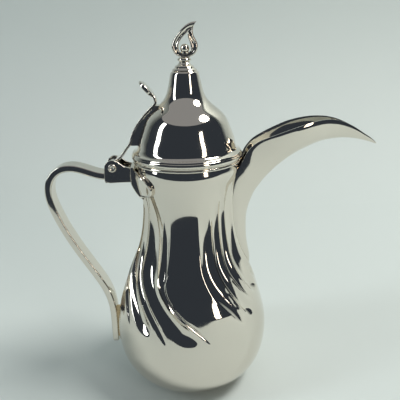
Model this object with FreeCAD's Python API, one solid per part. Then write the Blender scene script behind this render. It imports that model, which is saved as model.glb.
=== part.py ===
"""A dallah coffee pot in polished steel.

Frame: +Z up, origin at the centre of the foot on the table, the beak towards +X and
the handle towards -X. Sizes are millimetres. Each function returns one sub-part.
"""
import FreeCAD, Part
import math
import os

V = FreeCAD.Vector

# Pot shell
WALL = 1.2
FOOT_R = 36.5
BELLY_R = 61.0
NECK_R = 34.6
MOUTH_R = 38.8
NECK_TOP_Z = 183.8
BASE_DISC_T = 1.2

# Mouth bead
RING_IN_R = 37.6
RING_OUT_R = 40.2
RIM_Z = 186.0

# Lid
BAND_IN_R = 37.4
BAND_BULGE_R = 41.0
BAND_TOP_Z = 190.2
LID_TOP_R = 9.5
LID_TOP_Z = 248.0
LID_WALL = 1.2
COLLAR_OUT_R = 34.6
COLLAR_LOW_Z = 181.6
COLLAR_T = 1.2

# Lid hinge
PIN_X = -55.1
PIN_Z = 181.0
PIN_R = 1.6
PIN_CLEARANCE = 0.06
KNUCKLE_R = 4.3
KNUCKLE_HALF = 6.6
EAR_IN_Y = 7.0
EAR_OUT_Y = 8.8
EAR_R = 5.6
BRACKET_LEFT_X = -61.4
BRACKET_RIGHT_X = -42.2
BRACKET_LOW_Z = 169.6
SHEET = 1.6
CAP_R = 3.0
CAP_T = 1.4

# Handle strap
STRAP_T = 5.2
STRAP_HALF_W = 6.9
STRAP_EDGE_R = 1.3
STRAP_LEVEL_Z = 173.8
STRAP_FOOT_X = -64.1
STRAP_FOOT_Z = 30.2

# Thumb lever
LEVER_T = 2.0
LEVER_HALF_W = 5.4
PAD_LENGTH = 14.0
PAD_HALF_W = 7.5
PAD_T = 2.2
PAD_OVERLAP = 4.8
PAD_LEAN = 133.0

# Beak
BEAK_WALL = 1.2
WINDOW_HALF_W = 6.0
WINDOW_LOW_Z = 140.0
WINDOW_HIGH_Z = 170.0

# Strainer
HOLE_R = 1.2
HOLE_PITCH = 4.2

# Finial
LOOP_X = 0.6
LOOP_HALF_T = 2.0
LOOP_SEAT_Z = 259.4
BALL_R = 3.2
STUD_R = 2.0


def spline(points):
    """A smooth curve through points."""
    curve = Part.BSplineCurve()
    curve.interpolate([V(*p) for p in points])
    return curve


def xz(points):
    """Points given as (x, z) in the plane of the handle and beak."""
    return [(x, 0, z) for x, z in points]


def offset_points(curve, distance, count):
    """Points at an even spacing along a curve in the XZ plane, moved square to it."""
    moved = []
    for i in range(count + 1):
        at = curve.FirstParameter + (curve.LastParameter - curve.FirstParameter) * i / count
        tangent = curve.tangent(at)[0]
        point = curve.value(at)
        moved.append((point.x + tangent.z * distance, 0, point.z - tangent.x * distance))
    return moved


def line(a, b):
    return Part.makeLine(V(*a), V(*b))


def polygon_edges(points):
    return [line(a, b) for a, b in zip(points, points[1:])]


def face(edges):
    return Part.Face(Part.Wire(Part.__sortEdges__(edges)))


def turned(edges, angle=360.0, start=0.0):
    """Turns a closed outline in the XZ plane about the pot's axis."""
    solid = face(edges).revolve(V(0, 0, 0), V(0, 0, 1), angle)
    if start:
        solid.rotate(V(0, 0, 0), V(0, 0, 1), start)
    return solid


def across(edges, half_width):
    """Extrudes a closed outline in the XZ plane evenly to both sides of it."""
    flat = face(edges)
    flat.translate(V(0, -half_width, 0))
    return flat.extrude(V(0, 2 * half_width, 0))


def along_y(radius, y_low, y_high, x=PIN_X, z=PIN_Z):
    return Part.makeCylinder(radius, y_high - y_low, V(x, y_low, z), V(0, 1, 0))


def block(x, y, z):
    """A box from three (low, high) pairs."""
    return Part.makeBox(x[1] - x[0], y[1] - y[0], z[1] - z[0], V(x[0], y[0], z[0]))


def one_solid(shape):
    """The largest solid of a result, without slivers."""
    return max(shape.Solids, key=lambda solid: solid.Volume)


# ---------------------------------------------------------------- pot shell

def pot_curve():
    """Outside of the shell from the top of the foot's upright to the mouth."""
    return spline(xz([
        (FOOT_R, 2.2), (44.4, 6.8), (51.0, 13.0), (56.3, 21.0), (59.5, 30.5),
        (BELLY_R, 42.0), (60.6, 54.0), (58.4, 65.0), (55.3, 76.0), (51.0, 89.0),
        (45.9, 101.5), (40.6, 114.5), (36.9, 129.0), (34.9, 145.0), (NECK_R, 158.0),
        (34.8, 169.0), (35.9, 177.0), (MOUTH_R, NECK_TOP_Z)]))


def pot_inner_points():
    points = offset_points(pot_curve(), -WALL, 40)
    points[0] = (FOOT_R - WALL, 0, 2.6)
    points[-1] = (MOUTH_R - WALL, 0, NECK_TOP_Z)
    return points


def pot_outer_solid():
    """The shell's outer form as one full solid, used to trim what is fixed to it."""
    return turned([
        line((0, 0, 0), (FOOT_R, 0, 0)), line((FOOT_R, 0, 0), (FOOT_R, 0, 2.2)),
        pot_curve().toShape(),
        line((MOUTH_R, 0, NECK_TOP_Z), (0, 0, NECK_TOP_Z)),
        line((0, 0, NECK_TOP_Z), (0, 0, 0))])


def body_shell():
    inner = pot_inner_points()
    shell = turned([
        line((FOOT_R - WALL, 0, 0), (FOOT_R, 0, 0)), line((FOOT_R, 0, 0), (FOOT_R, 0, 2.2)),
        pot_curve().toShape(), line((MOUTH_R, 0, NECK_TOP_Z), inner[-1]),
        spline(inner).toShape(), line(inner[0], (FOOT_R - WALL, 0, 0))])
    middle = WINDOW_HALF_W
    window = block((25, 45), (-middle, middle), (WINDOW_LOW_Z + middle, WINDOW_HIGH_Z - middle))
    for z in (WINDOW_LOW_Z + middle, WINDOW_HIGH_Z - middle):
        window = window.fuse(Part.makeCylinder(middle, 20, V(25, 0, z), V(1, 0, 0)))
    return one_solid(shell.cut(window))


def base_disc():
    return Part.makeCylinder(FOOT_R - WALL, BASE_DISC_T)


def mouth_ring():
    """The rolled bead that the lid rests on."""
    low = NECK_TOP_Z
    round_x = RING_OUT_R - (RIM_Z - low) / 2
    bead = Part.Arc(V(round_x, 0, low), V(RING_OUT_R, 0, (low + RIM_Z) / 2), V(round_x, 0, RIM_Z))
    return turned([
        line((RING_IN_R, 0, low), (round_x, 0, low)), bead.toShape(),
        line((round_x, 0, RIM_Z), (RING_IN_R, 0, RIM_Z)),
        line((RING_IN_R, 0, RIM_Z), (RING_IN_R, 0, low))])


def strainer_plate():
    """A curved plate behind the beak's window, pierced with staggered rows of holes."""
    radius = NECK_R - WALL - 0.15
    half_angle = 17.0
    low, high = 136.5, 171.5
    plate = turned([
        line((radius - 1.0, 0, low), (radius, 0, low)), line((radius, 0, low), (radius, 0, high)),
        line((radius, 0, high), (radius - 1.0, 0, high)),
        line((radius - 1.0, 0, high), (radius - 1.0, 0, low))], 2 * half_angle, -half_angle)
    holes = []
    for row in range(7):
        count = 3 if row % 2 == 0 else 2
        for column in range(count):
            y = (column - (count - 1) / 2) * HOLE_PITCH
            z = (WINDOW_LOW_Z + WINDOW_HIGH_Z) / 2 + (row - 3) * HOLE_PITCH * 0.87
            holes.append(Part.makeCylinder(HOLE_R, 12, V(26, y, z), V(1, 0, 0)))
    return one_solid(plate.cut(Part.makeCompound(holes)))


# ---------------------------------------------------------------- beak

def beak_stations():
    """(keel x, keel z, lip x, lip z, half width) from the root up to the tip."""
    return [
        (48.4, 92.0, 33.0, 98.0, 2.8), (47.0, 107.0, 30.0, 113.0, 5.6),
        (45.2, 119.5, 29.0, 127.0, 7.6), (44.8, 131.0, 29.0, 141.0, 8.7),
        (45.8, 143.5, 29.5, 156.0, 9.0), (49.6, 154.6, 35.0, 170.5, 9.2),
        (56.8, 165.8, 43.6, 185.4, 9.6), (65.6, 175.5, 50.6, 195.6, 11.2),
        (74.6, 182.9, 60.6, 201.4, 13.8), (85.2, 189.4, 74.0, 207.2, 16.0),
        (97.0, 194.5, 88.5, 210.8, 14.0), (109.0, 197.2, 103.5, 211.7, 9.4),
        (121.0, 197.4, 117.5, 208.3, 6.2), (132.0, 195.6, 130.2, 201.6, 3.4),
        (141.8, 192.4, 141.6, 194.2, 1.2)]


def channel_points(keel, lip, half_width, inset):
    """Points round a channel section from one lip to the other, moved in by inset."""
    up = (lip - keel).normalize()
    depth = (lip - keel).Length - inset
    half = half_width - inset
    turns = [math.pi * i / 8 for i in range(9)]
    return [lip + V(0, -half * math.cos(a), 0) - up * (depth * math.sin(a)) for a in turns]


def beak_section(keel_x, keel_z, lip_x, lip_z, half_width):
    """One closed section of the beak's sheet: outside, two lips and inside."""
    keel, lip = V(keel_x, 0, keel_z), V(lip_x, 0, lip_z)
    wall = min(BEAK_WALL, 0.6 * half_width)
    outside = channel_points(keel, lip, half_width, 0.0)
    inside = channel_points(keel, lip, half_width, wall)
    curves = []
    for points in (outside, inside):
        curve = Part.BSplineCurve()
        curve.interpolate(points)
        curves.append(curve.toShape())
    return Part.Wire([curves[0], Part.makeLine(outside[-1], inside[-1]), curves[1],
                      Part.makeLine(inside[0], outside[0])])


def spout_shell():
    """The open beak, closed at the back by the neck it is brazed to."""
    sheet = Part.makeLoft([beak_section(*station) for station in beak_stations()], True, False)
    over_mouth = block((20, 43.2), (-25, 25), (178.6, 240))
    return one_solid(sheet.cut(pot_outer_solid()).cut(over_mouth))


# ---------------------------------------------------------------- hinge and handle

def saddle_plate():
    """A leaf that wraps the neck, with a corbel under the hinge bracket."""
    thickness = 1.9
    layer = turned([
        pot_curve().toShape(), line((MOUTH_R, 0, NECK_TOP_Z), (MOUTH_R + thickness, 0, NECK_TOP_Z)),
        spline(offset_points(pot_curve(), thickness, 40)[:-1]
               + [(MOUTH_R + thickness, 0, NECK_TOP_Z)]).toShape(),
        line(offset_points(pot_curve(), thickness, 40)[0], (FOOT_R, 0, 2.2))], 180.0, 90.0)
    wing = [(12.0, 180.6), (23.0, 176.9), (28.2, 172.8), (29.9, 168.4), (28.8, 164.4),
            (25.6, 162.2), (20.6, 161.2), (14.5, 159.8), (7.5, 156.6)]
    outline = [(0, 182.2)] + wing + [(0, 154.6)] + [(-y, z) for y, z in reversed(wing)]
    leaf_curve = Part.BSplineCurve()
    leaf_curve.interpolate([V(-60, y, z) for y, z in outline], True)
    leaf = Part.Face(Part.Wire(leaf_curve.toShape())).extrude(V(60, 0, 0))
    corbel = across(polygon_edges(xz([
        (-30, 181), (BRACKET_RIGHT_X, 181), (BRACKET_RIGHT_X, 168.2), (-41.0, 165.4),
        (-36.4, 157.8), (-30, 154.0), (-30, 181)])), EAR_OUT_Y)
    plate = layer.common(leaf).fuse(corbel.cut(pot_outer_solid()))
    return one_solid(plate.removeSplitter())


def ear():
    """Side cheek of the clevis with a round top about the pin."""
    top = Part.makeCylinder(EAR_R, 2 * EAR_OUT_Y, V(PIN_X, -EAR_OUT_Y, PIN_Z), V(0, 1, 0))
    cheek = across([
        line((BRACKET_LEFT_X, 0, BRACKET_LOW_Z + 1.0), (BRACKET_LEFT_X + 0.7, 0, PIN_Z)),
        line((BRACKET_LEFT_X + 0.7, 0, PIN_Z), (PIN_X + 2.0, 0, PIN_Z + 4.9)),
        Part.Arc(V(PIN_X + 2.0, 0, PIN_Z + 4.9), V(PIN_X + 7.0, 0, PIN_Z + 1.4),
                 V(BRACKET_RIGHT_X, 0, PIN_Z - 0.4)).toShape(),
        line((BRACKET_RIGHT_X, 0, PIN_Z - 0.4), (BRACKET_RIGHT_X, 0, BRACKET_LOW_Z + 1.0)),
        line((BRACKET_RIGHT_X, 0, BRACKET_LOW_Z + 1.0),
             (BRACKET_LEFT_X, 0, BRACKET_LOW_Z + 1.0))], EAR_OUT_Y)
    return cheek.fuse(top)


def hinge_bracket():
    """Folded clevis: two ears, a floor under the strap and a flange on the saddle."""
    inside = block((BRACKET_LEFT_X - 5, BRACKET_RIGHT_X + 5), (-EAR_IN_Y, EAR_IN_Y),
                   (BRACKET_LOW_Z - 5, PIN_Z + 20))
    ears = ear().cut(inside)
    floor = block((BRACKET_LEFT_X, BRACKET_RIGHT_X), (-EAR_OUT_Y, EAR_OUT_Y),
                  (BRACKET_LOW_Z, BRACKET_LOW_Z + SHEET))
    flange = block((BRACKET_RIGHT_X - SHEET, BRACKET_RIGHT_X), (-EAR_OUT_Y, EAR_OUT_Y),
                   (BRACKET_LOW_Z, PIN_Z - 2.2))
    folded = ears.fuse([floor, flange]).removeSplitter()
    return one_solid(folded.cut(along_y(PIN_R, -20, 20)))


def hinge_pin():
    return along_y(PIN_R, -EAR_OUT_Y - CAP_T * 0.6, EAR_OUT_Y + CAP_T * 0.6)


def hinge_pin_washers():
    """Two domed caps, dimpled where the pin is peened over."""
    caps = []
    for side in (-1, 1):
        rim = V(PIN_X + CAP_R, side * EAR_OUT_Y, PIN_Z)
        crown = V(PIN_X + PIN_R, side * (EAR_OUT_Y + CAP_T), PIN_Z)
        bulge = V(PIN_X + CAP_R * 0.9, side * (EAR_OUT_Y + CAP_T * 0.72), PIN_Z)
        bore = V(PIN_X + PIN_R, side * EAR_OUT_Y, PIN_Z)
        outline = [Part.Arc(rim, bulge, crown).toShape(), Part.makeLine(crown, bore),
                   Part.makeLine(bore, rim)]
        cap = Part.Face(Part.Wire(outline)).revolve(V(PIN_X, 0, PIN_Z), V(0, 1, 0), 360)
        caps.append(cap)
    return Part.makeCompound([one_solid(cap) for cap in caps])


def strap_curve():
    """Middle of the handle strap from the bracket round to the belly."""
    return spline(xz([
        (BRACKET_RIGHT_X - SHEET, STRAP_LEVEL_Z), (-59.0, STRAP_LEVEL_Z), (-66.5, 174.9),
        (-75.5, 178.0), (-84.5, 180.5), (-91.0, 180.4), (-96.2, 178.5), (-100.3, 175.0),
        (-103.2, 170.0), (-104.7, 163.5), (-104.3, 156.0), (-102.0, 147.3), (-95.8, 131.2),
        (-86.6, 112.6), (-77.0, 95.6), (-69.2, 80.6), (-65.4, 68.5), (STRAP_FOOT_X, 56.0),
        (STRAP_FOOT_X, 42.0), (STRAP_FOOT_X, STRAP_FOOT_Z)]))


def handle_strap():
    curve = strap_curve()
    outer = offset_points(curve, STRAP_T / 2, 60)
    inner = offset_points(curve, -STRAP_T / 2, 60)
    strap = across([spline(outer).toShape(), line(outer[-1], inner[-1]),
                    spline(inner).toShape(), line(inner[0], outer[0])], STRAP_HALF_W)
    rounded = [edge for edge in strap.Edges
               if edge.Length > 100 and abs(abs(edge.CenterOfMass.y) - STRAP_HALF_W) < 0.01]
    rounded += [edge for edge in strap.Edges
                if abs(edge.CenterOfMass.z - STRAP_FOOT_Z) < 0.5 and edge.Length > 10]
    return one_solid(strap.makeFillet(STRAP_EDGE_R, rounded).cut(hinge_bracket()))


def handle_foot_pad():
    """Brazed pad between the strap and the belly."""
    pad = block((STRAP_FOOT_X, -50), (-5.0, 5.0), (34.0, 58.0))
    return one_solid(pad.cut(pot_outer_solid()).cut(handle_strap()))


# ---------------------------------------------------------------- lid

def dome_curve():
    """Outside of the lid from the band up to the flat under the finial."""
    return spline(xz([
        (40.6, BAND_TOP_Z), (39.8, 191.6), (38.2, 192.7), (36.8, 194.4), (36.1, 197.2),
        (35.3, 200.6), (33.7, 205.0), (31.7, 210.0), (28.9, 215.6), (24.4, 220.6),
        (18.6, 225.4), (14.8, 230.0), (12.8, 234.8), (11.6, 239.8), (10.6, 244.4),
        (LID_TOP_R, LID_TOP_Z)]))


def dome_solid():
    """The dome's outer form as one full solid, used to trim what is fixed to it."""
    return turned([
        line((0, 0, BAND_TOP_Z), (40.6, 0, BAND_TOP_Z)), dome_curve().toShape(),
        line((LID_TOP_R, 0, LID_TOP_Z), (0, 0, LID_TOP_Z)),
        line((0, 0, LID_TOP_Z), (0, 0, BAND_TOP_Z))])


def lid_dome():
    inner = offset_points(dome_curve(), -LID_WALL, 36)
    inner = [p for p in inner if BAND_TOP_Z + 2.4 < p[2] < LID_TOP_Z - LID_WALL - 0.2]
    inner = [(BAND_IN_R, 0, BAND_TOP_Z)] + inner
    top = (inner[-1][0] - 0.2, 0, LID_TOP_Z - LID_WALL)
    return turned([
        line((BAND_IN_R, 0, BAND_TOP_Z), (40.6, 0, BAND_TOP_Z)), dome_curve().toShape(),
        line((LID_TOP_R, 0, LID_TOP_Z), (STUD_R, 0, LID_TOP_Z)),
        line((STUD_R, 0, LID_TOP_Z), (STUD_R, 0, top[2])), line((STUD_R, 0, top[2]), top),
        line(top, inner[-1]), spline(inner).toShape()])


def lid_flange_band():
    bulge = Part.Arc(V(RING_OUT_R, 0, RIM_Z), V(BAND_BULGE_R, 0, (RIM_Z + BAND_TOP_Z) / 2),
                     V(40.6, 0, BAND_TOP_Z))
    return turned([
        line((BAND_IN_R, 0, RIM_Z), (RING_OUT_R, 0, RIM_Z)), bulge.toShape(),
        line((40.6, 0, BAND_TOP_Z), (BAND_IN_R, 0, BAND_TOP_Z)),
        line((BAND_IN_R, 0, BAND_TOP_Z), (BAND_IN_R, 0, RIM_Z))])


def lid_locating_collar():
    """Sleeve that drops into the mouth, with a flat flange brazed to the band."""
    inner, outer = COLLAR_OUT_R - COLLAR_T, COLLAR_OUT_R
    flange_z = 187.0
    return turned(polygon_edges(xz([
        (inner, COLLAR_LOW_Z), (outer, COLLAR_LOW_Z), (outer, flange_z), (BAND_IN_R, flange_z),
        (BAND_IN_R, flange_z + COLLAR_T), (inner, flange_z + COLLAR_T),
        (inner, COLLAR_LOW_Z)])))


def lever_curve():
    """Middle of the lever from the knuckle up the dome and back to the thumb pad."""
    return spline(xz([
        (PIN_X + 1.4, PIN_Z + KNUCKLE_R - 0.8), (-49.0, 187.9), (-45.0, 193.0), (-41.6, 197.6),
        (-39.4, 203.4), (-36.4, 209.4), (-32.4, 215.0), (-27.6, 220.2), (-23.4, 224.2),
        (-21.6, 227.8), (-23.0, 231.4), (-26.2, 234.8)]))


def thumb_lever():
    """One bent strap: hinge knuckle, straight link, dome stretch and thumb pad."""
    outer = offset_points(lever_curve(), LEVER_T / 2, 40)
    inner = offset_points(lever_curve(), -LEVER_T / 2, 40)
    strap = across([spline(outer).toShape(), line(outer[-1], inner[-1]),
                    spline(inner).toShape(), line(inner[0], outer[0])], LEVER_HALF_W)
    knuckle = along_y(KNUCKLE_R, -KNUCKLE_HALF, KNUCKLE_HALF)
    lever = strap.fuse([knuckle, thumb_pad()])
    return one_solid(lever.removeSplitter().cut(along_y(PIN_R + PIN_CLEARANCE, -20, 20)))


def thumb_pad():
    """Oval pad that leans back over the hinge."""
    curve = lever_curve()
    end = curve.value(curve.LastParameter)
    oval = Part.Ellipse(V(0, 0, 0), PAD_HALF_W, PAD_LENGTH / 2).toShape()
    pad = Part.Face(Part.Wire(oval)).extrude(V(0, 0, PAD_T))
    pad.rotate(V(0, 0, 0), V(0, 0, 1), 90)
    pad = pad.makeFillet(PAD_T * 0.42, pad.Edges[:1] + pad.Edges[2:])
    pad.translate(V(PAD_LENGTH / 2 - PAD_OVERLAP, 0, -PAD_T / 2))
    pad.rotate(V(0, 0, 0), V(0, 1, 0), -PAD_LEAN)
    pad.translate(end)
    return pad


def lever_mount():
    """Brazed filler between the lever and the dome."""
    outer = offset_points(lever_curve(), -LEVER_T / 2, 40)
    contact = [p for p in outer if 195.6 < p[2] < 225.6]
    first, last = contact[0], contact[-1]
    filler = across([
        spline(contact).toShape(), line(last, (-15, 0, last[2])),
        line((-15, 0, last[2]), (-15, 0, first[2])), line((-15, 0, first[2]), first)],
        LEVER_HALF_W - 0.6)
    return one_solid(filler.cut(dome_solid()))


# ---------------------------------------------------------------- finial

def finial_base():
    """Lower step of the finial's foot."""
    low = LID_TOP_Z
    return turned(polygon_edges(xz([
        (STUD_R, low), (8.6, low), (8.7, low + 0.8), (7.2, low + 2.2), (STUD_R, low + 2.2),
        (STUD_R, low)])))


def finial_collar():
    """Upper step, a hollow-sided cone up to the stem."""
    low = LID_TOP_Z + 2.2
    cone = Part.Arc(V(6.4, 0, low + 1.3), V(4.5, 0, low + 2.3), V(3.5, 0, low + 4.2)).toShape()
    return turned([
        line((STUD_R, 0, low), (6.6, 0, low)), line((6.6, 0, low), (6.4, 0, low + 1.3)), cone,
        line((3.5, 0, low + 4.2), (STUD_R, 0, low + 4.2)),
        line((STUD_R, 0, low + 4.2), (STUD_R, 0, low))])


def finial_bead_ring():
    """Small bead round the stem, under the loop."""
    low = LID_TOP_Z + 6.4
    bead = Part.Arc(V(3.6, 0, low), V(4.9, 0, low + 1.3), V(3.6, 0, low + 2.6)).toShape()
    return turned([
        line((0, 0, low), (3.6, 0, low)), bead, line((3.6, 0, low + 2.6), (0, 0, low + 2.6)),
        line((0, 0, low + 2.6), (0, 0, low))])


def closed_prism(points, half_width):
    """A closed outline in the XZ plane, drawn through points and made thick across it."""
    outline = spline([(LOOP_X + x, -half_width, z) for x, z in points + points[:1]])
    return Part.Face(Part.Wire(outline.toShape())).extrude(V(0, 2 * half_width, 0))


def finial_loop():
    """Open flame: a round lower bow drawn up to a tip that leans towards the beak."""
    outer = closed_prism([
        (8.2, 280.6), (2.4, 277.0), (-3.8, 272.4), (-8.0, 268.0), (-9.2, 263.6), (-7.2, 259.6),
        (-3.6, 257.5), (0, 257.0), (3.8, 257.4), (7.4, 259.6), (9.1, 263.6), (8.2, 267.6),
        (6.2, 271.2), (6.0, 275.4)], LOOP_HALF_T)
    inner = closed_prism([
        (2.2, 273.8), (-0.9, 270.8), (-3.3, 267.6), (-4.3, 264.2), (-3.4, 261.0), (0, 259.4),
        (3.4, 261.0), (4.2, 264.0), (3.5, 267.2), (2.3, 270.4)], LOOP_HALF_T + 1)
    return one_solid(outer.cut(inner).cut(finial_bead_ring()))


def finial_cup():
    """Small seat inside the loop that carries the ball."""
    seat = Part.makeCylinder(1.8, 2.2, V(LOOP_X, 0, LOOP_SEAT_Z - 0.6))
    return one_solid(seat.cut(finial_loop()).cut(finial_ball()))


def finial_ball():
    return Part.makeSphere(BALL_R, V(LOOP_X, 0, LOOP_SEAT_Z + 0.5 + BALL_R))


def finial_stud():
    """Threaded stud from the bead ring down through the dome, drawn at its pitch radius."""
    return Part.makeCylinder(STUD_R, 14.4, V(0, 0, 240.0))


def finial_washer():
    ring = Part.makeCylinder(5.0, 1.0, V(0, 0, LID_TOP_Z - LID_WALL - 1.0))
    return ring.cut(Part.makeCylinder(STUD_R, 4, V(0, 0, LID_TOP_Z - LID_WALL - 2.0)))


def finial_nut():
    top = LID_TOP_Z - LID_WALL - 1.0
    across_corners = 4.2
    corners = [V(across_corners * math.cos(math.radians(60 * i)),
                 across_corners * math.sin(math.radians(60 * i)), top - 3.2) for i in range(7)]
    nut = Part.Face(Part.makePolygon(corners)).extrude(V(0, 0, 3.2))
    return nut.cut(Part.makeCylinder(STUD_R, 6, V(0, 0, top - 4)))


PARTS = [
    body_shell, base_disc, mouth_ring, strainer_plate, spout_shell, saddle_plate,
    hinge_bracket, hinge_pin, hinge_pin_washers, handle_strap, handle_foot_pad, lid_dome,
    lid_flange_band, lid_locating_collar, thumb_lever, lever_mount,
    finial_base, finial_collar, finial_bead_ring, finial_loop, finial_cup, finial_ball,
    finial_stud, finial_washer, finial_nut]

os.makedirs("parts", exist_ok=True)
for make in PARTS:
    shape = make()
    shape.exportStep("parts/%s.step" % make.__name__)
    print("%-20s solids %d valid %s volume %.1f" % (
        make.__name__, len(shape.Solids), shape.isValid(), shape.Volume))
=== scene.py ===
"""Polished steel dallah coffee pot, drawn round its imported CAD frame.

Row frame: +Z up, foot on z = 0, beak towards +X, handle towards -X, viewer on -Y.
Lengths in this file are millimetres and become metres when a mesh is made.
"""
import bpy
import bmesh
import math
import numpy as np
from mathutils import Matrix, Vector


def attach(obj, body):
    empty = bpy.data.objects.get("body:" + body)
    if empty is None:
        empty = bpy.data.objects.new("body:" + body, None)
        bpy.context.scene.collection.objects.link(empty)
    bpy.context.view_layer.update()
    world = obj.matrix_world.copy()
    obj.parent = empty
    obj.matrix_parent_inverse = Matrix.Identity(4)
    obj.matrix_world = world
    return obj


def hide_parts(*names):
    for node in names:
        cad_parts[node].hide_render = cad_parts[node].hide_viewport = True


MM = 0.001
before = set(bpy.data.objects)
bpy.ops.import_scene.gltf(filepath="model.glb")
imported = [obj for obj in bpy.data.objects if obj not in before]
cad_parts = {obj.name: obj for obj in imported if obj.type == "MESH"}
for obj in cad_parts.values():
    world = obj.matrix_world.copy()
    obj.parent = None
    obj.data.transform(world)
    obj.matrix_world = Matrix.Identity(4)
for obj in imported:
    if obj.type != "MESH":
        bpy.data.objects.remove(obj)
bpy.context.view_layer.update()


# ---------------------------------------------------------------- curves and meshes

def smoothstep(low, high, x):
    t = np.clip((x - low) / (high - low), 0.0, 1.0)
    return t * t * (3 - 2 * t)


def natural_spline(points, count):
    """Points at an even spacing along a smooth curve through the given points."""
    p = np.array(points, float)
    step = np.linalg.norm(np.diff(p, axis=0), axis=1)
    knots = np.concatenate([[0], np.cumsum(step)])
    n = len(p)
    system, right = np.eye(n), np.zeros((n, p.shape[1]))
    for i in range(1, n - 1):
        before, after = step[i - 1], step[i]
        system[i, i - 1:i + 2] = before, 2 * (before + after), after
        right[i] = 6 * ((p[i + 1] - p[i]) / after - (p[i] - p[i - 1]) / before)
    bend = np.linalg.solve(system, right)
    at = np.linspace(0, knots[-1], count)
    i = np.clip(np.searchsorted(knots, at) - 1, 0, n - 2)
    h = (knots[i + 1] - knots[i])[:, None]
    a, b = (knots[i + 1] - at)[:, None] / h, (at - knots[i])[:, None] / h
    return (a * p[i] + b * p[i + 1]
            + ((a ** 3 - a) * bend[i] + (b ** 3 - b) * bend[i + 1]) * h * h / 6)


def normals_2d(points):
    """Unit normals to the right of an open curve's direction."""
    tangent = np.gradient(points, axis=0)
    tangent /= np.linalg.norm(tangent, axis=1)[:, None]
    return np.stack([tangent[:, 1], -tangent[:, 0]], 1)


def grid_faces(rows, columns, rows_close=False, columns_close=True):
    faces = []
    for i in range(rows if rows_close else rows - 1):
        for j in range(columns if columns_close else columns - 1):
            i2, j2 = (i + 1) % rows, (j + 1) % columns
            faces.append((i * columns + j, i * columns + j2, i2 * columns + j2, i2 * columns + j))
    return faces


def add_mesh(name, points, faces, material, sharp=38.0):
    """A mesh object from points in millimetres, welded, with its normals outwards."""
    mesh = bpy.data.meshes.new(name)
    mesh.from_pydata([tuple(p) for p in np.asarray(points, float) * MM], [], faces)
    work = bmesh.new()
    work.from_mesh(mesh)
    bmesh.ops.remove_doubles(work, verts=work.verts, dist=0.004 * MM)
    bmesh.ops.dissolve_degenerate(work, edges=work.edges, dist=0.001 * MM)
    bmesh.ops.recalc_face_normals(work, faces=work.faces)
    work.to_mesh(mesh)
    work.free()
    mesh.shade_smooth()
    mesh.set_sharp_from_angle(angle=math.radians(sharp))
    mesh.materials.append(material)
    obj = bpy.data.objects.new(name, mesh)
    bpy.context.scene.collection.objects.link(obj)
    return obj


def fix(obj, body, slot, *nodes):
    """The piece rides on a body and stands for CAD nodes."""
    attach(obj, body)
    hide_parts(*nodes)


def even_shading(obj):
    """Keeps broad flat faces flat beside their rounded edges."""
    obj.modifiers.new("even_shading", "WEIGHTED_NORMAL").keep_sharp = True
    return obj


def lathe(name, profile, material, segments=160, axis_x=0.0, sharp=38.0):
    """Turns a closed outline of (radius, z) about the upright at axis_x."""
    p = np.array(profile, float)
    turn = np.linspace(0, 2 * math.pi, segments, endpoint=False)
    points = np.empty((len(p), segments, 3))
    points[:, :, 0] = axis_x + p[:, :1] * np.cos(turn)
    points[:, :, 1] = p[:, :1] * np.sin(turn)
    points[:, :, 2] = p[:, 1:]
    return add_mesh(name, points.reshape(-1, 3), grid_faces(len(p), segments, True), material,
                    sharp)


def arc(cx, cz, radius, start, end, count=8, flat=1.0):
    """Points of (x, z) on an arc in degrees; flat squeezes it along z."""
    turn = np.radians(np.linspace(start, end, count))
    return [(cx + radius * math.cos(a), cz + flat * radius * math.sin(a)) for a in turn]


def bar_section(half_width, half_thick, radius, count=5):
    """Rounded rectangle of (across, along normal) points."""
    radius = min(radius, half_width, half_thick)
    section = []
    for k, (sy, sn) in enumerate(((1, 1), (-1, 1), (-1, -1), (1, -1))):
        for a in np.radians(np.linspace(90 * k, 90 * k + 90, count)):
            section.append((sy * (half_width - radius) + radius * math.cos(a),
                            sn * (half_thick - radius) + radius * math.sin(a)))
    return section


def strap(name, path, half_width, half_thick, radius, material):
    """A flat bar along a path in the XZ plane, with rounded long edges and ends."""
    half_width = np.broadcast_to(half_width, len(path)).astype(float)
    half_thick = np.broadcast_to(half_thick, len(path)).astype(float)
    normal = normals_2d(path)
    tangent = np.stack([-normal[:, 1], normal[:, 0]], 1)
    rings = []
    for side in (0, -1):
        ends = []
        for a in np.radians([90, 60, 30]):
            shrink = radius * (1 - math.cos(a))
            reach = radius * (1 - math.sin(a)) * (1 if side == 0 else -1)
            ends.append((path[side] + tangent[side] * reach, normal[side],
                         max(half_width[side] - shrink, 0.02),
                         max(half_thick[side] - shrink, 0.02)))
        rings.append(ends)
    trim = max(1, int(len(path) * radius / np.linalg.norm(np.diff(path, axis=0), axis=1).sum()))
    middle = [(path[i], normal[i], half_width[i], half_thick[i])
              for i in range(trim, len(path) - trim)]
    points = []
    stations = rings[0] + middle + rings[1][::-1]
    for centre, across, width, thick in stations:
        for y, n in bar_section(width, thick, radius):
            points.append((centre[0] + across[0] * n, y, centre[1] + across[1] * n))
    columns = len(points) // len(stations)
    faces = grid_faces(len(stations), columns)
    faces += [tuple(range(columns)), tuple(range(len(points) - columns, len(points)))]
    return add_mesh(name, points, faces, material, 50.0)


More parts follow.
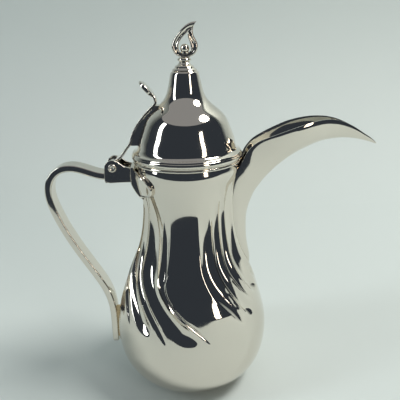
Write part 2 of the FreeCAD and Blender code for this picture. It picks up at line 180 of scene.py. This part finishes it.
def prism(name, outline, y_low, y_high, bevel, material, sharp=38.0):
    """A closed (x, z) outline made thick across Y, with rounded edges."""
    n = len(outline)
    points = [(x, y, z) for y in (y_low, y_high) for x, z in outline]
    faces = [tuple(range(n)), tuple(range(n, 2 * n))]
    faces += [(i, (i + 1) % n, n + (i + 1) % n, n + i) for i in range(n)]
    obj = add_mesh(name, points, faces, material, sharp)
    work = bmesh.new()
    work.from_mesh(obj.data)
    edges = [e for e in work.edges
             if e.is_manifold and e.calc_face_angle(0.0) > math.radians(25)]
    bmesh.ops.bevel(work, geom=edges, offset=bevel * MM, segments=3, profile=0.5,
                    affect="EDGES", clamp_overlap=True)
    work.to_mesh(obj.data)
    work.free()
    obj.data.shade_smooth()
    obj.data.set_sharp_from_angle(angle=math.radians(sharp))
    return obj


def joined(name, objects):
    """One object from several, keeping their finish."""
    target = objects[0]
    work = bmesh.new()
    for obj in objects:
        work.from_mesh(obj.data)
    work.to_mesh(target.data)
    work.free()
    for obj in objects[1:]:
        bpy.data.objects.remove(obj)
    target.name = name
    target.data.name = name
    return target


# ---------------------------------------------------------------- finishes

def polished(name, tint, rough_low, rough_high, scratch):
    """Polished metal with faint smudges and hairline scratches."""
    material = bpy.data.materials.new(name)
    material.use_nodes = True
    nodes, links = material.node_tree.nodes, material.node_tree.links
    shader = nodes["Principled BSDF"]
    shader.inputs["Metallic"].default_value = 1.0
    place = nodes.new("ShaderNodeTexCoord")
    smudge = nodes.new("ShaderNodeTexNoise")
    smudge.inputs["Scale"].default_value = 38.0
    smudge.inputs["Detail"].default_value = 5.0
    links.new(place.outputs["Object"], smudge.inputs["Vector"])
    rough = nodes.new("ShaderNodeMapRange")
    rough.inputs["From Min"].default_value = 0.35
    rough.inputs["From Max"].default_value = 0.7
    rough.inputs["To Min"].default_value = rough_low
    rough.inputs["To Max"].default_value = rough_high
    links.new(smudge.outputs["Fac"], rough.inputs["Value"])
    links.new(rough.outputs["Result"], shader.inputs["Roughness"])
    shade = nodes.new("ShaderNodeMixRGB")
    shade.inputs["Color1"].default_value = (*[c * 0.97 for c in tint], 1)
    shade.inputs["Color2"].default_value = (*tint, 1)
    links.new(smudge.outputs["Fac"], shade.inputs["Fac"])
    links.new(shade.outputs["Color"], shader.inputs["Base Color"])
    stretch = nodes.new("ShaderNodeMapping")
    stretch.inputs["Scale"].default_value = (30.0, 30.0, 900.0)
    links.new(place.outputs["Object"], stretch.inputs["Vector"])
    hairline = nodes.new("ShaderNodeTexNoise")
    hairline.inputs["Scale"].default_value = 2.0
    hairline.inputs["Detail"].default_value = 3.0
    links.new(stretch.outputs["Vector"], hairline.inputs["Vector"])
    bump = nodes.new("ShaderNodeBump")
    bump.inputs["Strength"].default_value = scratch
    bump.inputs["Distance"].default_value = 0.0001
    links.new(hairline.outputs["Fac"], bump.inputs["Height"])
    links.new(bump.outputs["Normal"], shader.inputs["Normal"])
    return material


STEEL = polished("polished_steel", (0.78, 0.73, 0.65), 0.035, 0.085, 0.02)
INSIDE = polished("plain_steel", (0.60, 0.59, 0.58), 0.28, 0.42, 0.15)
BRAZE = polished("braze", (0.66, 0.50, 0.30), 0.30, 0.45, 0.10)


# ---------------------------------------------------------------- pot shell

WALL = 1.2
FOOT_R = 36.5
WINDOW_LOW_Z, WINDOW_HIGH_Z, WINDOW_HALF_DEG = 141.0, 169.0, 9   # strainer opening to the beak
PANEL_DEG = -96.0                                              # middle of the plain front panel
POT_CURVE = [
    (36.5, 2.2), (44.4, 6.8), (51.0, 13.0), (56.3, 21.0), (59.5, 30.5), (61.0, 42.0),
    (60.6, 54.0), (58.4, 65.0), (55.3, 76.0), (51.0, 89.0), (45.9, 101.5), (40.6, 114.5),
    (36.9, 129.0), (35.0, 144.0), (34.7, 151.0), (34.9, 158.0), (35.4, 165.0), (36.4, 170.6),
    (37.6, 174.4), (38.3, 177.0), (38.5, 179.2), (38.2, 181.6), (37.6, 183.8)]
POT_FINE = natural_spline(POT_CURVE, 500)


def pot_radius(z):
    """Radius of the shell's plain outside at a height."""
    return np.interp(z, POT_FINE[:, 1], POT_FINE[:, 0])


# Each scoop: left and right crest on the neck, height of its lower end, depth, round end?
SCOOPS = [
    (-176, -157, 62, 2.6, True), (-157, -145, 57, 1.5, False), (-145, -122, 60, 2.7, True),
    (-122, -113, 55, 1.3, False), (-79, -64, 63, 2.0, False),
    (-64, -53, 68, 2.0, True), (-53, -42, 74, 1.8, False), (-42, -24, 79, 2.8, True),
    (-24, -7, 84, 3.2, True), (-5, 18, 72, 2.4, True), (18, 33, 70, 1.6, False),
    (33, 56, 68, 2.6, True), (56, 71, 64, 1.6, False), (71, 93, 65, 2.6, True),
    (93, 108, 61, 1.6, False), (108, 131, 63, 2.6, True), (131, 146, 59, 1.6, False),
    (146, 169, 62, 2.6, True), (169, 184, 58, 1.6, False)]


def swirl(start, z):
    """How far a flute that starts at an angle on the neck has turned, in degrees."""
    turn = np.interp(start, [-180, -113, -79, -20, 60, 180], [44, 44, 27, 27, 44, 44])
    begins = np.interp(start, [-160, -122, -110, -79, 180], [118, 108, 100, 116, 118])
    return turn * smoothstep(begins, 52.0, z)


def scoop_depth(start, z):
    """Depth of the pressed flutes below the plain shell."""
    depth = np.zeros(np.broadcast(start, z).shape)
    for left, right, end, deepest, rounded in SCOOPS:
        centre, half = (left + right) / 2, (right - left) / 2
        off = (start - centre + 180) % 360 - 180
        t = np.clip((z - end) / (15.0 if rounded else 30.0), 0.0, 1.0)
        if rounded:
            width = np.sqrt(1 - (1 - t) ** 2)
            fall = smoothstep(0.0, 0.55, t)
        else:
            width = t ** 0.8
            fall = smoothstep(0.0, 0.8, t) ** 0.8
        u = off / (half * np.maximum(width, 1e-3))
        depth = np.maximum(depth, deepest * fall * np.clip(1 - u * u, 0.0, 1.0))
    swell = np.interp(z, [48.0, 56.0, 79.0, 89.0], [0.0, 0.3, 2.4, 0.0])
    depth = depth - swell * smoothstep(34.0, 14.0, np.abs(start - PANEL_DEG))
    top = np.interp(start, [-180, -150, -125, -65, -45, 180], [178, 178, 160, 160, 180, 180])
    depth = depth * (1 - smoothstep(top - 32.0, top, z))
    beak = np.abs((start + swirl(start, z) + 180) % 360 - 180)
    covered = np.interp(z, [92.0, 96.0, 103.0, 111.0, 120.0, 140.0],
                        [-7.0, 1.0, 6.0, 9.5, 12.0, 15.0])
    return depth * smoothstep(covered + 1.0, covered + 6.0, beak)


def pot_shell():
    foot = [(FOOT_R - 0.6, 0.0), (FOOT_R - 0.2, 0.2), (FOOT_R, 0.7), (FOOT_R, 1.6)]
    outline = np.array(foot + list(natural_spline(POT_CURVE, 190)))
    normal = normals_2d(outline)
    normal[:4] = (1, 0)
    columns = np.arange(-180.0, 180.0, 1.0)
    z = outline[:, 1][:, None] + 0 * columns
    start = columns[None, :] + 0 * z
    depth = scoop_depth(start, z)
    angle = np.radians(start + swirl(start, z))
    layers = []
    for inset in (0.0, WALL):
        if inset:
            normal = normal.copy()
            normal[-1] = (1, 0)
        r = outline[:, :1] - normal[:, :1] * (depth + inset)
        height = outline[:, 1:] - normal[:, 1:] * (depth + inset)
        if inset:
            r[0] = FOOT_R - WALL
            height[0] = 0.0
        layers.append(np.stack([r * np.cos(angle), r * np.sin(angle), height], 2))
    layers[1] = layers[1][::-1]
    points = np.concatenate(layers)
    rows, around = points.shape[0], points.shape[1]
    outer_rows = len(outline)
    window_rows = [i for i in range(outer_rows)
                   if WINDOW_LOW_Z < outline[i, 1] < WINDOW_HIGH_Z]
    low, high = window_rows[0], window_rows[-1]
    left, right = 180 - WINDOW_HALF_DEG, 180 + WINDOW_HALF_DEG
    faces = []
    for i in range(rows):
        mirrored = i if i < outer_rows else rows - 2 - i
        for j in range(around):
            if low <= mirrored < high and left <= j < right:
                continue
            i2, j2 = (i + 1) % rows, (j + 1) % around
            faces.append((i * around + j, i * around + j2, i2 * around + j2, i2 * around + j))

    def opposite(i):
        return rows - 1 - i

    rim = [(low, j) for j in range(left, right)] + [(i, right) for i in range(low, high)]
    rim += [(high, j) for j in range(right, left, -1)] + [(i, left) for i in range(high, low, -1)]
    for (i, j), (i2, j2) in zip(rim, rim[1:] + rim[:1]):
        faces.append((i * around + j, i2 * around + j2,
                      opposite(i2) * around + j2, opposite(i) * around + j))
    return add_mesh("pot_shell", points.reshape(-1, 3), faces, STEEL, 60.0)


fix(pot_shell(), "root", "polished_steel", "body_shell")

mouth = lathe("mouth_bead", [
    (37.6, 183.9)] + arc(39.1, 184.9, 1.1, -70, 90, 9) + [(37.9, 186.0), (37.6, 185.7)], STEEL)
fix(mouth, "root", "polished_steel", "mouth_ring")


# ---------------------------------------------------------------- beak

def beak_stations():
    """(keel x, keel z, lip x, lip z, half width): root stations lie in the neck's wall."""
    root = [(47.9, 96.5, 98.0, 0.8), (47.9, 103.0, 106.5, 4.4), (46.6, 111.0, 116.0, 6.6),
            (45.2, 120.5, 128.0, 8.0), (44.8, 130.0, 140.5, 8.8), (45.1, 139.5, 152.0, 9.2),
            (46.9, 147.5, 162.0, 9.4), (49.4, 154.2, 171.5, 9.5)]
    stations = []
    for keel_x, keel_z, lip_z, half in root:
        reach = pot_radius(lip_z) - 0.7
        stations.append((keel_x, keel_z, math.sqrt(reach ** 2 - half ** 2), lip_z, half))
    return stations + [
        (51.0, 157.6, 37.8, 176.6, 9.4), (52.6, 160.2, 39.6, 180.4, 9.3),
        (54.6, 162.9, 41.7, 184.2, 9.2), (57.6, 167.0, 44.0, 188.8, 9.2),
        (61.2, 171.0, 47.2, 193.2, 9.6),
        (65.6, 175.5, 51.6, 197.0, 10.6), (70.0, 179.2, 57.0, 199.8, 12.2),
        (75.0, 183.2, 63.6, 202.6, 14.2), (80.5, 186.9, 70.4, 205.3, 15.6),
        (86.5, 190.2, 77.6, 207.9, 16.2), (92.6, 193.0, 85.4, 210.1, 15.0),
        (99.2, 195.4, 93.6, 211.7, 12.8), (106.0, 196.8, 101.6, 212.2, 10.0),
        (113.0, 197.5, 109.4, 211.3, 7.8), (120.0, 197.4, 117.0, 208.8, 6.0),
        (127.0, 196.5, 124.8, 204.8, 4.4), (133.6, 195.0, 132.2, 200.0, 2.9),
        (139.0, 193.3, 138.4, 196.0, 1.6), (142.2, 192.2, 142.0, 193.2, 0.5)]


def beak():
    path = natural_spline(beak_stations(), 150)
    sweep = np.linspace(0, math.pi, 25)
    points, per_ring = [], 0
    for keel_x, keel_z, lip_x, lip_z, half in path:
        keel, lip = np.array([keel_x, keel_z]), np.array([lip_x, lip_z])
        length = np.linalg.norm(lip - keel)
        up = (lip - keel) / length
        wall = min(1.25, 0.55 * half)
        ring = []
        for inset, turns in ((0.0, sweep), (wall, sweep[::-1])):
            for a in turns:
                y = -(half - inset) * math.cos(a)
                drop = (length - inset) * math.sin(a) ** 1.22
                ring.append((lip[0] - up[0] * drop, y, lip[1] - up[1] * drop))
            rise = 0.5 * wall
            y = (half - wall / 2) * (1 if inset == 0 else -1)
            for k in (-0.35, 0.35) if inset == 0 else (0.35, -0.35):
                ring.append((lip[0] + up[0] * rise, y - k * wall * (1 if inset == 0 else -1) * 0.9,
                             lip[1] + up[1] * rise))
        per_ring = len(ring)
        points += ring
    faces = grid_faces(len(path), per_ring)
    faces += [tuple(range(per_ring)), tuple(range(len(points) - per_ring, len(points)))]
    return add_mesh("beak", points, faces, STEEL, 60.0)


fix(beak(), "root", "polished_steel", "spout_shell")


# ---------------------------------------------------------------- saddle and hinge bracket

BRACKET_LEFT_X, BRACKET_RIGHT_X, BRACKET_LOW_Z = -61.4, -42.2, 169.6
PIN_X, PIN_Z = -55.1, 181.0
EAR_IN_Y, EAR_OUT_Y, SHEET = 7.0, 8.8, 1.6


def saddle():
    """The leaf that wraps the neck, then the corbel under the bracket."""
    wing = [(12.0, 180.6), (23.0, 176.9), (28.2, 172.8), (29.9, 168.4), (28.8, 164.4),
            (25.6, 162.2), (20.6, 161.2), (14.5, 159.8), (7.5, 156.6)]
    loop = [(0, 182.2)] + wing + [(0, 154.6)] + [(-y, z) for y, z in reversed(wing)] + [(0, 182.2)]
    edge = natural_spline(loop, 161)[:-1]
    centre = np.array([0.0, 168.5])
    points = []
    for share, lift in ((1.0, -0.8), (1.0, 1.9), (0.985, 2.5), (0.96, 2.75), (0.935, 2.5),
                        (0.91, 1.9), (0.87, 1.75), (0.75, 2.1), (0.5, 2.7), (0.25, 3.0),
                        (0.02, 3.1)):
        for y, z in centre + (edge - centre) * share:
            r = pot_radius(z) + lift
            angle = math.pi + y / 36.5
            points.append((r * math.cos(angle), r * math.sin(angle), z))
    faces = grid_faces(11, len(edge)) + [tuple(range(10 * len(edge), 11 * len(edge)))]
    faces.append(tuple(reversed(range(len(edge)))))
    leaf = add_mesh("saddle_leaf", points, faces, STEEL, 45.0)
    corbel = prism("corbel", [
        (-33.0, 181.0), (BRACKET_RIGHT_X, 181.0), (BRACKET_RIGHT_X, 168.4), (-41.2, 165.6),
        (-39.4, 162.0), (-37.2, 158.6), (-34.0, 155.6), (-33.0, 155.6)],
        -EAR_OUT_Y, EAR_OUT_Y, 0.7, STEEL)
    return joined("saddle", [leaf, corbel])


fix(even_shading(saddle()), "root", "polished_steel", "saddle_plate")


def bracket():
    ear = [(BRACKET_LEFT_X, BRACKET_LOW_Z + 1.2), (BRACKET_LEFT_X + 0.3, PIN_Z - 2.0)]
    ear += arc(PIN_X, PIN_Z, 5.7, 172, 66, 12)
    ear += [(PIN_X + 4.6, PIN_Z + 3.9), (PIN_X + 8.0, PIN_Z + 1.4), (PIN_X + 10.6, PIN_Z + 0.2),
            (BRACKET_RIGHT_X, PIN_Z - 0.4), (BRACKET_RIGHT_X, BRACKET_LOW_Z + 0.2),
            (-53.0, BRACKET_LOW_Z), (-57.5, BRACKET_LOW_Z - 0.2)]
    parts = []
    for side in (-1, 1):
        low, high = sorted((side * EAR_IN_Y, side * EAR_OUT_Y))
        parts.append(prism("ear", ear, low, high, 0.35, STEEL))
    parts.append(prism("floor", [
        (BRACKET_LEFT_X + 0.4, BRACKET_LOW_Z), (BRACKET_RIGHT_X, BRACKET_LOW_Z),
        (BRACKET_RIGHT_X, BRACKET_LOW_Z + SHEET), (BRACKET_LEFT_X + 0.4, BRACKET_LOW_Z + SHEET)],
        -EAR_OUT_Y + 0.3, EAR_OUT_Y - 0.3, 0.3, STEEL))
    parts.append(prism("flange", [
        (BRACKET_RIGHT_X - SHEET, BRACKET_LOW_Z), (BRACKET_RIGHT_X, BRACKET_LOW_Z),
        (BRACKET_RIGHT_X, PIN_Z - 2.4), (BRACKET_RIGHT_X - SHEET, PIN_Z - 2.4)],
        -EAR_OUT_Y + 0.3, EAR_OUT_Y - 0.3, 0.3, STEEL))
    return joined("hinge_clevis", parts)


fix(even_shading(bracket()), "root", "polished_steel", "hinge_bracket")


def pin_caps():
    """Domed washers with a dimple, one on each ear."""
    profile = [(3.1, 0.0), (3.1, 0.5), (2.9, 1.0), (2.5, 1.35), (2.0, 1.5), (1.5, 1.35),
               (1.1, 0.9), (0.5, 0.7), (0.0, 0.65), (0.0, 0.0)]
    turn = np.linspace(0, 2 * math.pi, 48, endpoint=False)
    caps = []
    for side in (-1, 1):
        points = [(PIN_X + r * math.cos(a), side * (EAR_OUT_Y + rise), PIN_Z + r * math.sin(a))
                  for r, rise in profile for a in turn]
        caps.append(add_mesh("cap", points, grid_faces(len(profile), 48, True), STEEL))
    return joined("pin_caps", caps)


fix(pin_caps(), "root", "polished_steel", "hinge_pin_washers")


# ---------------------------------------------------------------- handle

def handle():
    path = natural_spline([
        (-44.0, 173.8), (-52.0, 173.8), (-59.0, 173.8), (-66.5, 174.9), (-75.5, 178.0),
        (-84.5, 180.5), (-91.0, 180.4), (-96.2, 178.5), (-100.3, 175.0), (-103.2, 170.0),
        (-104.7, 163.5), (-104.3, 156.0), (-102.0, 147.3), (-95.8, 131.2), (-86.6, 112.6),
        (-77.0, 95.6), (-69.2, 80.6), (-65.4, 68.5), (-64.1, 56.0), (-64.1, 42.0),
        (-64.1, 30.2)], 150)
    return strap("handle", path, 6.9, 2.6, 1.2, STEEL)


fix(even_shading(handle()), "root", "polished_steel", "handle_strap")


# ---------------------------------------------------------------- lid

def lid_shell():
    dome = natural_spline([
        (36.3, 196.2), (36.0, 197.6), (35.3, 200.6), (33.7, 205.0), (31.7, 210.0),
        (28.9, 215.6), (24.4, 220.6), (18.6, 225.4), (14.8, 230.0), (12.8, 234.8),
        (11.6, 239.8), (10.7, 244.0), (10.1, 246.6), (9.4, 247.7), (8.8, 248.0)], 110)
    skirt = natural_spline([
        (40.5, 190.3), (40.0, 191.4), (38.9, 192.0), (37.8, 192.7), (36.9, 194.0),
        (36.3, 196.2)], 20)[:-1]
    outside = np.concatenate([skirt, dome])
    inside = outside - normals_2d(outside) * 1.2
    inside = [p for p in inside[::-1] if 191.8 < p[1] < 246.4 and p[0] < 36.2]
    profile = [tuple(p) for p in outside] + [(2.0, 248.0), (2.0, 246.8), (8.0, 246.8)]
    profile += [tuple(p) for p in inside] + [(36.6, 191.0), (37.4, 190.2)]
    return lathe("lid_shell", profile, STEEL, 200)


fix(lid_shell(), "lid", "polished_steel", "lid_dome")

band = lathe("lid_band", [(37.4, 186.0), (39.6, 186.0), (40.0, 186.3), (40.1, 186.7)]
             + arc(38.9, 188.7, 2.2, -55, 62, 16) + [(39.5, 190.9), (38.0, 191.2), (37.4, 191.0)],
             STEEL, 200)
fix(band, "lid", "polished_steel", "lid_flange_band")


# ---------------------------------------------------------------- thumb lever

def lever():
    path = natural_spline([
        (-54.6, 184.4), (-49.0, 187.9), (-45.0, 193.0), (-41.6, 197.6), (-39.4, 203.4),
        (-36.4, 209.4), (-32.4, 215.0), (-27.6, 220.2), (-23.6, 223.9), (-21.4, 227.2),
        (-22.3, 230.4), (-25.0, 233.6), (-28.6, 237.6), (-32.2, 241.6)], 140)
    along = np.concatenate([[0], np.cumsum(np.linalg.norm(np.diff(path, axis=0), axis=1))])
    pad_start = along[-1] - 15.0
    pad = np.clip((along - pad_start) / 15.0, 0.0, 1.0)
    oval = np.sqrt(np.clip(1 - (2 * pad - 1) ** 2, 0.0, 1.0))
    width = np.where(pad > 0, np.maximum(np.where(pad < 0.5, 5.4 * (1 - pad * 2), 0), 7.5 * oval),
                     5.4)
    width = np.maximum(width, 1.0)
    thick = 1.0 + 0.5 * smoothstep(0.0, 0.4, pad) - 0.7 * smoothstep(0.75, 1.0, pad)
    blade = strap("blade", path, width, thick, 0.7, STEEL)
    turn = np.linspace(0, 2 * math.pi, 48, endpoint=False)
    profile = [(1.66, -6.6), (3.8, -6.6), (4.2, -6.3), (4.3, -5.9), (4.3, 5.9), (4.2, 6.3),
               (3.8, 6.6), (1.66, 6.6)]
    points = [(PIN_X + r * math.cos(a), y, PIN_Z + r * math.sin(a))
              for r, y in profile for a in turn]
    knuckle = add_mesh("knuckle", points, grid_faces(len(profile), 48, True), STEEL)
    return joined("lid_lever", [blade, knuckle])


fix(even_shading(lever()), "lid", "polished_steel", "thumb_lever")


# ---------------------------------------------------------------- finial

FINIAL_X = 0.6

fix(lathe("finial_step", [(2.0, 248.0), (8.5, 248.0), (8.8, 248.3), (8.8, 248.8), (8.4, 249.3),
                          (7.4, 249.9), (7.1, 250.3), (2.0, 250.3)], STEEL, 96),
    "lid", "polished_steel", "finial_base")
fix(lathe("finial_cone", [(2.0, 250.2), (6.4, 250.2), (6.7, 250.5), (6.7, 251.1), (6.3, 251.6),
                          (5.2, 252.2), (4.3, 253.0), (3.7, 254.0), (3.4, 254.5), (2.0, 254.5)],
          STEEL, 96), "lid", "polished_steel", "finial_collar")
fix(lathe("finial_bead", [(0.0, 254.3), (3.4, 254.3)] + arc(3.6, 255.6, 1.2, -80, 80, 10)
          + [(3.3, 257.2), (0.0, 257.2)], STEEL, 64), "lid", "polished_steel",
    "finial_bead_ring")


def flame():
    """An open flame bent from a bar: two flat cheeks with a groove between them."""
    outer = natural_spline([
        (8.6, 280.6), (5.2, 280.3), (1.6, 278.8), (-3.2, 274.6), (-7.4, 269.4), (-9.1, 264.2),
        (-7.2, 259.7),
        (-3.6, 257.6), (0.0, 257.0), (3.8, 257.5), (7.4, 259.7), (9.1, 263.6), (8.4, 267.8),
        (6.4, 271.6), (6.1, 275.2), (7.0, 278.4), (8.6, 280.6)], 121)[:-1]
    inner = natural_spline([
        (2.3, 273.8), (-0.8, 270.8), (-3.3, 267.6), (-4.3, 264.2), (-3.4, 261.0), (0.0, 259.5),
        (3.4, 261.0), (4.2, 264.0), (3.5, 267.2), (2.4, 270.4), (2.3, 273.8)], 121)[:-1]
    points = []
    side = [(0.0, 1.2), (0.03, 1.6), (0.12, 2.05), (0.22, 2.3), (0.32, 2.3), (0.42, 1.9),
            (0.56, 1.5), (0.70, 1.9), (0.80, 2.3), (0.90, 2.2), (0.97, 1.9), (1.0, 1.4)]
    ring = side + [(share, -y) for share, y in reversed(side)]
    for o, i in zip(outer, inner):
        for share, y in ring:
            x, z = o + (i - o) * share
            points.append((FINIAL_X + x, y, z))
    return add_mesh("flame", points, grid_faces(len(outer), len(ring), True), STEEL, 60.0)


fix(flame(), "lid", "polished_steel", "finial_loop")
fix(lathe("finial_ball", arc(0.0, 263.1, 3.2, -90, 90, 25), STEEL, 48, FINIAL_X),
    "lid", "polished_steel", "finial_ball")
fix(lathe("finial_cup", [(0.0, 259.2), (1.9, 259.2), (2.6, 259.8), (2.8, 260.8), (2.5, 261.0),
                         (2.1, 260.4), (0.0, 259.9)], STEEL, 48, FINIAL_X),
    "lid", "polished_steel", "finial_cup")

for node, finish in (("base_disc", INSIDE), ("strainer_plate", INSIDE), ("hinge_pin", INSIDE),
                     ("lid_locating_collar", INSIDE), ("finial_stud", INSIDE),
                     ("finial_washer", INSIDE), ("finial_nut", INSIDE),
                     ("lever_mount", STEEL), ("handle_foot_pad", BRAZE)):
    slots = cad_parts[node].data.materials
    slots.clear()
    slots.append(finish)


# ---------------------------------------------------------------- studio

TABLE_FRONT, TABLE_HALF_WIDTH, WALL_TOP = -0.42, 2.6, 2.2   # metres


def sweep_backdrop():
    """Table top and wall in one plain pale sheet with a wide bend between them."""
    bend, wall_y = 0.35, 0.75
    line = [(TABLE_FRONT, 0.0), (wall_y - bend, 0.0)]
    line += [(wall_y - bend + bend * math.sin(a), bend - bend * math.cos(a))
             for a in np.radians(np.linspace(6, 90, 15))]
    line += [(wall_y, 0.8), (wall_y, WALL_TOP)]
    points = [(x, y, z - 0.0004) for y, z in line for x in (-TABLE_HALF_WIDTH, TABLE_HALF_WIDTH)]
    faces = [(2 * i, 2 * i + 1, 2 * i + 3, 2 * i + 2) for i in range(len(line) - 1)]
    mesh = bpy.data.meshes.new("backdrop")
    mesh.from_pydata(points, [], faces)
    mesh.shade_smooth()
    sheet = bpy.data.materials.new("backdrop")
    sheet.use_nodes = True
    shader = sheet.node_tree.nodes["Principled BSDF"]
    shader.inputs["Base Color"].default_value = (0.64, 0.70, 0.68, 1)
    shader.inputs["Roughness"].default_value = 0.9
    mesh.materials.append(sheet)
    obj = bpy.data.objects.new("backdrop", mesh)
    bpy.context.scene.collection.objects.link(obj)


def softbox(name, place, aim, size, power, colour=(1.0, 1.0, 1.0), shape="RECTANGLE"):
    """A plain soft light, in metres and watts, that the steel can mirror."""
    data = bpy.data.lights.new(name, "AREA")
    data.shape = shape
    data.size, data.size_y = size
    data.energy = power
    data.color = colour
    obj = bpy.data.objects.new(name, data)
    obj.location = place
    obj.rotation_euler = (Vector(aim) - Vector(place)).to_track_quat("-Z", "Y").to_euler()
    bpy.context.scene.collection.objects.link(obj)


sweep_backdrop()
softbox("ceiling", (0, 0, 2.0), (0, 0.001, 0), (3.3, 3.3), 7.0, shape="ELLIPSE")
softbox("key_right", (1.0, -0.05, 1.7), (0.1, 0, 0), (0.8, 0.6), 25.0, (1.0, 0.98, 0.94),
        "ELLIPSE")
softbox("fill_left", (-1.3, -0.35, 0.8), (0, 0, 0.12), (0.26, 1.1), 6.0, (0.90, 0.97, 1.0))
softbox("strip_front", (0.9, -1.1, 0.55), (0, 0, 0.12), (0.20, 0.9), 3.0, (1.0, 0.93, 0.82))

world = bpy.data.worlds.new("studio")
world.use_nodes = True
world.node_tree.nodes["Background"].inputs["Color"].default_value = (0.034, 0.042, 0.055, 1)
world.node_tree.nodes["Background"].inputs["Strength"].default_value = 1.0
bpy.context.scene.world = world
bpy.context.scene.view_settings.view_transform = "Standard"


# ---------------------------------------------------------------- camera

CAMERA_Y, CAMERA_Z = -0.3401, 0.2703
yaw, pitch, roll = (math.radians(a) for a in (1.52, 19.28, -1.18))
forward = Vector((math.sin(yaw) * math.cos(pitch), math.cos(yaw) * math.cos(pitch),
                  -math.sin(pitch)))
level = Vector((math.cos(yaw), -math.sin(yaw), 0))
rise = level.cross(forward)
right = level * math.cos(roll) + rise * math.sin(roll)
up = rise * math.cos(roll) - level * math.sin(roll)
camera_data = bpy.data.cameras.new("camera")
camera_data.lens = 41.9
camera_data.sensor_width = 36.0
camera = bpy.data.objects.new("camera", camera_data)
bpy.context.scene.collection.objects.link(camera)
camera.matrix_world = Matrix((
    (right.x, up.x, -forward.x, 0.0), (right.y, up.y, -forward.y, CAMERA_Y),
    (right.z, up.z, -forward.z, CAMERA_Z), (0, 0, 0, 1)))
bpy.context.scene.camera = camera
